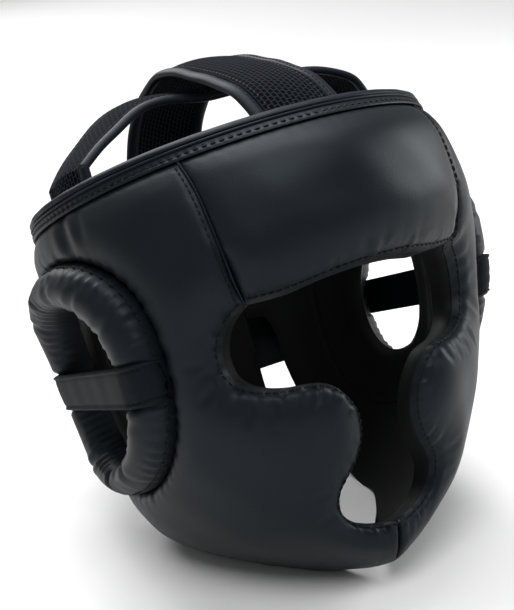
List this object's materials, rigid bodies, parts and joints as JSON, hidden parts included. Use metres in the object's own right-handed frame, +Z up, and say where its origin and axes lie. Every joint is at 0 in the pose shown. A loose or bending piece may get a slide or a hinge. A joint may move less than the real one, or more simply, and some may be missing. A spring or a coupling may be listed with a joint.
{
  "type": "boxing headgear",
  "caption": "Padded full-face boxing headgear with brow pad, cheek and chin panels, open ear rings, crossed crown straps and a rear closure strap.",
  "frame": {"origin": "centre of the bounding box's bottom face, on the surface that the headgear rests on", "axes": "+X towards the wearer's left, -Y towards the face opening, +Z up; at rest the headgear leans back 25.3 degrees about X"},
  "size_m": [0.2414, 0.2432, 0.2566],
  "materials": {
    "shell_leather": "smooth coated leather, satin",
    "strap_leather": "smooth coated leather, satin",
    "rim_leather": "rolled leather binding, satin",
    "crown_mesh": "knitted spacer mesh, matt"
  },
  "bodies": {
    "root": {"forehead_pad": "shell_leather", "side_panel_left": "shell_leather", "side_panel_right": "shell_leather", "back_pad": "shell_leather", "ear_ring_left": "shell_leather", "ear_ring_right": "shell_leather", "ear_strap_left": "strap_leather", "ear_strap_right": "strap_leather", "closure_strap": "strap_leather", "rim_band": "rim_leather", "rim_binding": "rim_leather", "crown_binding_long_left": "rim_leather", "crown_binding_long_right": "rim_leather", "crown_binding_side_front": "rim_leather", "crown_binding_side_rear": "rim_leather", "crown_strap_side": "crown_mesh", "crown_strap_front_back": "crown_mesh"}
  },
  "joints": []
}
